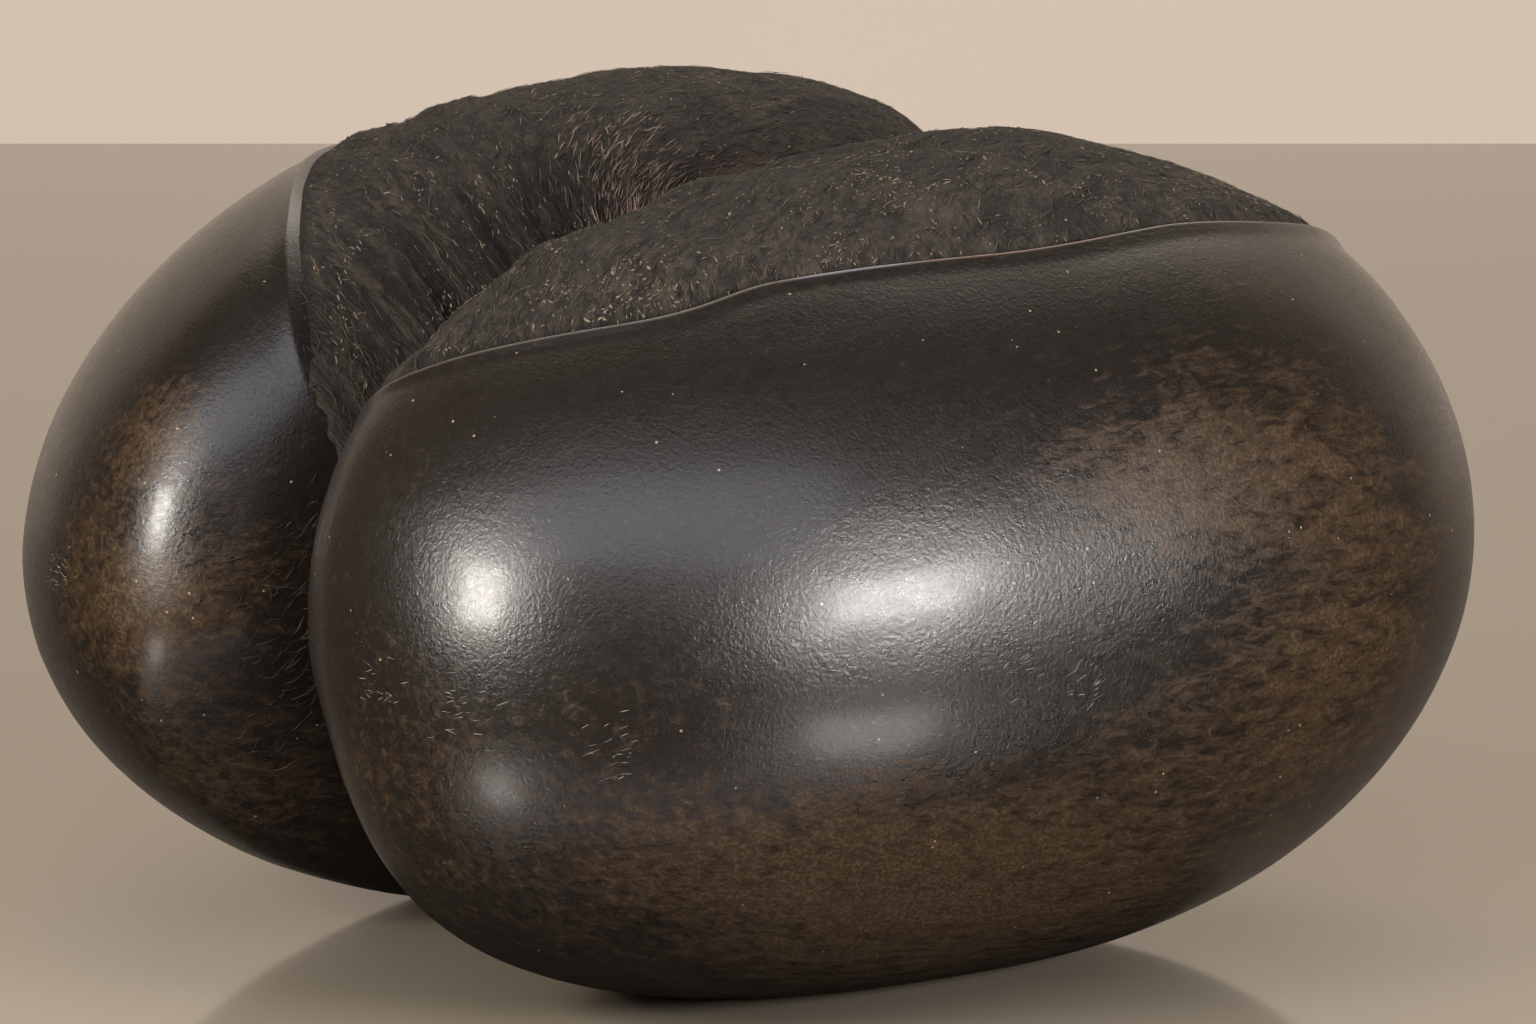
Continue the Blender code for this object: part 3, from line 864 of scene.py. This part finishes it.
slivers = {
    "steps": 4,
    "flatness": 0.35,
    "thinEnds": 0.07,
    "raised": 0.3,  # of the width
    "sizeSpread": 0.40,
    "widthSpread": 0.30,
    "liftRange": (0.3, 1.3),
    "roughness": 0.6,
    # Count on the near and the far lobe, then length, width and lift in metres, curl and turn in
    # radians, and the two colours
    "kinds": {
        "creamFlecks": ((3000, 2200), (0.0010, 0.00042, 0.00003, 0.15, 0.65),
                        (0.065, 0.050, 0.034), (0.26, 0.20, 0.135)),
        "paleFibres": ((2600, 2600), (0.0030, 0.00024, 0.00008, 0.20, 0.30),
                       (0.045, 0.034, 0.024), (0.115, 0.088, 0.060)),
        "darkFibres": ((1300, 1300), (0.0034, 0.00040, 0.00008, 0.20, 0.30),
                       (0.007, 0.0055, 0.0045), (0.022, 0.017, 0.013)),
        "cleftHairs": ((400, 1700), (0.0042, 0.00022, 0.00045, 0.35, 0.45),
                       (0.006, 0.0045, 0.0038), (0.065, 0.050, 0.037)),
        "lowerHairs": ((1100,), (0.0042, 0.00022, 0.0006, 0.35, 0.50),
                       (0.006, 0.0045, 0.0038), (0.050, 0.038, 0.028)),
        "crotchTuft": ((60, 900), (0.0034, 0.00024, 0.00010, 0.10, 0.20),
                       (0.075, 0.050, 0.038), (0.30, 0.215, 0.17)),
        "scratches": ((170,), (0.0019, 0.00010, 0.00001, 0.06, 0.22),
                      (0.16, 0.135, 0.11), (0.50, 0.46, 0.40)),
    },
    # Hairs along the face's edge: first turn and rise, last turn and fall, how far inside, spread
    "edges": {
        "lowerHairs": (166, 8, 202, 10, 0.001, 0.0045),
        "cleftHairs": (146, 12, 190, 12, 0.004, 0.005),
    },
    "faceFrom": (0.0018, 0.002),
    "crotch": (-0.016, 0.012, 0.024, 0.03),  # x, spread along x and y, rise in z
    "fibreGroups": (0.013, 0.009, 7),
    "fleckGroups": ((0.6, 0.011, 0.007, 2, 0), (0.4, 0.004, 0.003, 0, 6)),
    "fleckGroupFrom": (0.05, 0.35),
    "fleckLeast": 0.10,
    "fleckInner": (0.55, 0.045, 0.03),  # fewer flecks this far inside the lip
    # Where scratches lie in clusters on the shell
    "scratched": ((-0.150, -0.0585, -0.0064), (-0.146, -0.0796, -0.0069), (-0.127, -0.1057, -0.0139),
                  (-0.044, -0.1451, -0.0033), (-0.028, -0.1482, -0.0077), (-0.153, 0.0555, 0.0039)),
    "scratchSpread": 0.0045,
    "scratchesFrom": 0.01,
}


def sliverWeights(kind, surface):
    # How thickly each kind lies at each point of a surface: bells, rises and smooth unevenness
    x, y, z = np.moveaxis(surface["points"] - nut["centre"], -1, 0)
    fromLip, turn = surface["fromLip"], surface["turn"]
    onFace = growth(-fromLip, *slivers["faceFrom"]) * strength(turn, relief["faceTurns"])
    if kind == "scratches":
        bells = [np.exp(-((x - a) ** 2 + (y - b) ** 2 + (z - c) ** 2) / slivers["scratchSpread"] ** 2)
                 for a, b, c in slivers["scratched"]]
        return sum(bells) * (fromLip > slivers["scratchesFrom"])
    if kind in slivers["edges"]:
        first, rise, last, fall, inside, spread = slivers["edges"][kind]
        bell = np.exp(-((fromLip + inside) / spread) ** 2)
        return ease((turn - first) / rise) * ease((last - turn) / fall) * bell
    if kind == "crotchTuft":
        middle, spreadX, spreadY, rise = slivers["crotch"]
        bell = np.exp(-((x - middle) / spreadX) ** 2) * np.exp(-(y / spreadY) ** 2)
        return onFace * bell * ease((z - rise) / rise)
    if kind == "creamFlecks":
        groups = sum(share * uneven(x / length + shift, y / width + slip)
                     for share, length, width, shift, slip in slivers["fleckGroups"])
        least, inside, fall = slivers["fleckInner"]
        nearLip = least + (1 - least) * ease((fromLip + inside) / fall)
        return onFace * nearLip * (slivers["fleckLeast"] + growth(groups, *slivers["fleckGroupFrom"]))
    length, width, shift = slivers["fibreGroups"]
    return onFace * (0.5 + 0.5 * ease(0.5 + uneven(x / length + shift, y / width)))


def gradients(values):
    return np.gradient(values, axis=0), np.gradient(values, axis=1)


def placeSlivers(kind, surface, count, seed):
    # Starts, directions and sizes, drawn with the weights. The direction is the one in which "across"
    # stays the same, turned a little about the normal.
    length, width, lift, curl, turned = slivers["kinds"][kind][1]
    draw = np.random.default_rng(seed)
    downPoints, rightPoints = gradients(surface["points"])
    area = np.linalg.norm(np.cross(downPoints, rightPoints), axis=-1)
    weights = sliverWeights(kind, surface) * area
    weights[[0, -1]] = 0
    chosen = draw.choice(weights.size, count, p=weights.ravel() / weights.sum())
    downAcross, rightAcross = gradients(surface["across"])
    downAlong, rightAlong = gradients(surface["along"])
    forward = rightAcross[..., None] * downPoints - downAcross[..., None] * rightPoints
    forward = forward * np.sign(rightAcross * downAlong - downAcross * rightAlong)[..., None]

    def at(values):
        return values.reshape(-1, values.shape[-1])[chosen]

    shift = draw.uniform(-0.5, 0.5, (2, count, 1))
    start = at(surface["points"]) + shift[0] * at(downPoints) + shift[1] * at(rightPoints)
    normal, forward = at(surface["normals"]), at(forward)
    forward = forward - normal * (forward * normal).sum(-1, keepdims=True)
    forward = forward / np.maximum(np.linalg.norm(forward, axis=-1, keepdims=True), 1e-12)
    spin = draw.normal(0, turned, (count, 1))
    forward = forward * np.cos(spin) + np.cross(normal, forward) * np.sin(spin)
    size = np.exp(draw.normal(0, slivers["sizeSpread"], count))
    return {
        "start": start,
        "forward": forward,
        "normal": normal,
        "length": length * size,
        "width": width * np.exp(draw.normal(0, slivers["widthSpread"], count)),
        "lift": lift * draw.uniform(*slivers["liftRange"], count) * size,
        "curl": draw.normal(0, curl, count),
        "tint": draw.uniform(0, 1, count),
    }


def sliverMesh(parts):
    # Each sliver is a tube with three sides: start + forward s length + normal lift sin(pi s) + side
    # curl length s squared, its width a sine that leaves both ends thin
    steps, thin = slivers["steps"], slivers["thinEnds"]
    share = np.linspace(0, 1, steps + 1)[None, :, None]
    start, forward, normal = (parts[key][:, None, :] for key in ("start", "forward", "normal"))
    length, width, lift, curl = (parts[key][:, None, None] for key in ("length", "width", "lift", "curl"))
    side = np.cross(normal, forward)
    path = start + forward * (share - 0.5) * length + side * curl * length * share ** 2
    path = path + normal * (lift * np.sin(math.pi * share) + slivers["raised"] * width)
    half = 0.5 * width * np.sin(math.pi * (thin + (1 - 2 * thin) * share))
    angles = math.pi * (0.5 + np.arange(3) * 2 / 3)
    points = np.stack([path + half * (math.cos(a) * side + slivers["flatness"] * math.sin(a) * normal)
                       for a in angles], axis=2)
    step, corner = np.arange(steps)[:, None] * 3, np.arange(3)[None]
    after = (corner + 1) % 3
    one = np.stack([step + corner, step + after, step + 3 + after], -1)
    two = np.stack([step + corner, step + 3 + after, step + 3 + corner], -1)
    last = 3 * steps
    ends = [(0, 2, 1), (last, last + 1, last + 2)]
    triangles = np.concatenate([one.reshape(-1, 3), two.reshape(-1, 3), ends])
    each = 3 * (steps + 1)
    triangles = triangles[None] + each * np.arange(len(points))[:, None, None]
    return points.reshape(-1, 3), triangles.reshape(-1, 3), np.repeat(parts["tint"], each)


def sliverMaterial(name, first, second):
    nodes = Nodes(name)
    colour = nodes.mix(nodes.attribute("tint"), first, second)
    return nodes.finish(colour, slivers["roughness"], Specular_IOR_Level=0.4)


def buildSlivers(faces, polished):
    for number, (kind, values) in enumerate(slivers["kinds"].items()):
        surfaces = (polished,) if len(values[0]) == 1 else faces
        parts = [placeSlivers(kind, surface, count, 10 * number + i)
                 for i, (surface, count) in enumerate(zip(surfaces, values[0]))]
        joined = {key: np.concatenate([part[key] for part in parts]) for key in parts[0]}
        points, triangles, tint = sliverMesh(joined)
        makePiece(kind, points, triangles, sliverMaterial(kind, *values[2:]), tint=tint)


# The camera, the lights and what the nut lies on

view = {
    "azimuth": -0.7308,  # radians, from looking along +Y
    "elevation": 0.1759,
    "distance": 1.2,
    "imageSize": (1536, 1024),
    "focalPixels": 5025.4,
    "middlePixel": (726.3, 541.0),  # where the nut's own middle falls in the image
    "sensorWidth": 36,  # millimetres
    "nearClip": 0.05,
}

studio = {
    "backdrop": (0.64, 0.52, 0.415),
    "floor": (0.30, 0.255, 0.195),
    "floorBelow": (0.035, 0.029, 0.021),
    "floorIor": 1.9,
    "floorRoughness": 0.08,
    "floorShine": (1, 0.25),  # towards the nut, and as the camera sees it
    "floorBehind": 1.93,  # the floor's far edge, behind the nut along the view
    "floorAround": 3.0,
    "fill": (0.075, 0.066, 0.058),
    "backdropGlow": 1.0,
    # Each light: right of the view, towards the camera, up, width, height, watts, colour
    "lights": (
        ("leftLight", -0.28, 0.36, 0.21, 0.095, 0.105, 1.65, (1.0, 0.95, 0.88)),
        ("rightLight", 0.48, 0.58, 0.23, 0.20, 0.14, 4.6, (1.0, 0.97, 0.94)),
        ("topLight", -0.05, 0.95, 0.90, 1.60, 0.55, 8.5, (0.90, 0.92, 1.0)),
        ("ridgeLight", 0.10, -0.60, 1.05, 1.20, 0.60, 4.8, (1.0, 0.92, 0.80)),
    ),
}


def viewAxes():
    # Unit vectors of the view: to the right, towards the camera on the level, and back to the camera
    azimuth, elevation = view["azimuth"], view["elevation"]
    right = np.array([math.cos(azimuth), math.sin(azimuth), 0])
    toward = np.array([math.sin(azimuth), -math.cos(azimuth), 0])
    return right, toward, toward * math.cos(elevation) + np.array([0, 0, math.sin(elevation)])


def makeCamera():
    camera = bpy.data.cameras.new("camera")
    holder = addObject("camera", camera)
    holder.location = np.array(nut["centre"]) + viewAxes()[2] * view["distance"]
    holder.rotation_euler = (math.pi / 2 - view["elevation"], 0, view["azimuth"])
    width, height = view["imageSize"]
    camera.sensor_width = view["sensorWidth"]
    camera.lens = view["focalPixels"] / width * camera.sensor_width
    camera.shift_x = (width / 2 - view["middlePixel"][0]) / width
    camera.shift_y = (view["middlePixel"][1] - height / 2) / width
    camera.clip_start = view["nearClip"]
    bpy.context.scene.camera = holder
    print("camera placed")


def makeSheet(name, corners, material):
    mesh = bpy.data.meshes.new(name)
    mesh.from_pydata([tuple(corner) for corner in corners], [], [(0, 1, 2, 3)])
    mesh.materials.append(material)
    addObject(name, mesh)


def makeFloor():
    right, toward = viewAxes()[:2]
    reach, behind = studio["floorAround"], studio["floorBehind"]
    corners = [right * across * reach + toward * forward
               for across, forward in ((-1, reach), (1, reach), (1, -behind), (-1, -behind))]
    nodes = Nodes("floor")
    seen = nodes.add("LightPath").outputs["Is Camera Ray"]  # the floor is darker as the nut sees it
    colour = nodes.mix(seen, studio["floorBelow"], studio["floor"])
    shine = nodes.ramp(seen, 0, 1, *studio["floorShine"])
    makeSheet("floor", corners, nodes.finish(colour, studio["floorRoughness"], IOR=studio["floorIor"],
                                             Specular_IOR_Level=shine))

    nodes = Nodes("backdrop")  # it glows, and nothing shows of it from behind
    alpha = nodes.ramp(nodes.add("NewGeometry").outputs["Backfacing"], 0, 1, 1, 0)
    glow = nodes.finish((0, 0, 0), 0.5, Emission_Color=studio["backdrop"],
                        Emission_Strength=studio["backdropGlow"], Alpha=alpha)
    top = [corners[2] + [0, 0, reach], corners[3] + [0, 0, reach]]
    makeSheet("backdrop", (corners[3], corners[2], *top), glow)


def makeLights():
    # Soft boxes that face the nut
    right, toward = viewAxes()[:2]
    centre = np.array(nut["centre"])
    for name, across, forward, up, width, height, watts, colour in studio["lights"]:
        light = bpy.data.lights.new(name, "AREA")
        light.shape = "RECTANGLE"
        light.size = width
        light.size_y = height
        light.energy = watts
        light.color = colour
        holder = addObject(name, light)
        place = right * across + toward * forward + np.array([0, 0, up])
        holder.location = place
        aim = place - centre
        tilt = math.atan2(math.hypot(aim[0], aim[1]), aim[2])
        holder.rotation_euler = (tilt, 0, math.atan2(aim[0], -aim[1]))
        holder.visible_camera = False
    nodes = Nodes("studio", "worlds")  # dim, but pale where the camera sees past the floor
    colour = nodes.mix(nodes.add("LightPath").outputs["Is Camera Ray"], studio["fill"], studio["backdrop"])
    nodes.plug(nodes.tree.nodes["Background"].inputs["Color"], colour)
    bpy.context.scene.world = nodes.owner
    bpy.context.scene.view_settings.view_transform = "Standard"
    print("floor and lights placed")


makeCamera()
makeFloor()
makeLights()
shellSurface = buildShell()
fibres = faceMaterial()
nearFace, nearSurface = buildFace(nearLobe, "nearFibrousFace", fibres)
farFace, farSurface = buildFace(farLobe, "farFibrousFace", fibres)
for dressed in (nearFace, farFace):
    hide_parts("seed")
buildSlivers((nearSurface, farSurface), shellSurface)
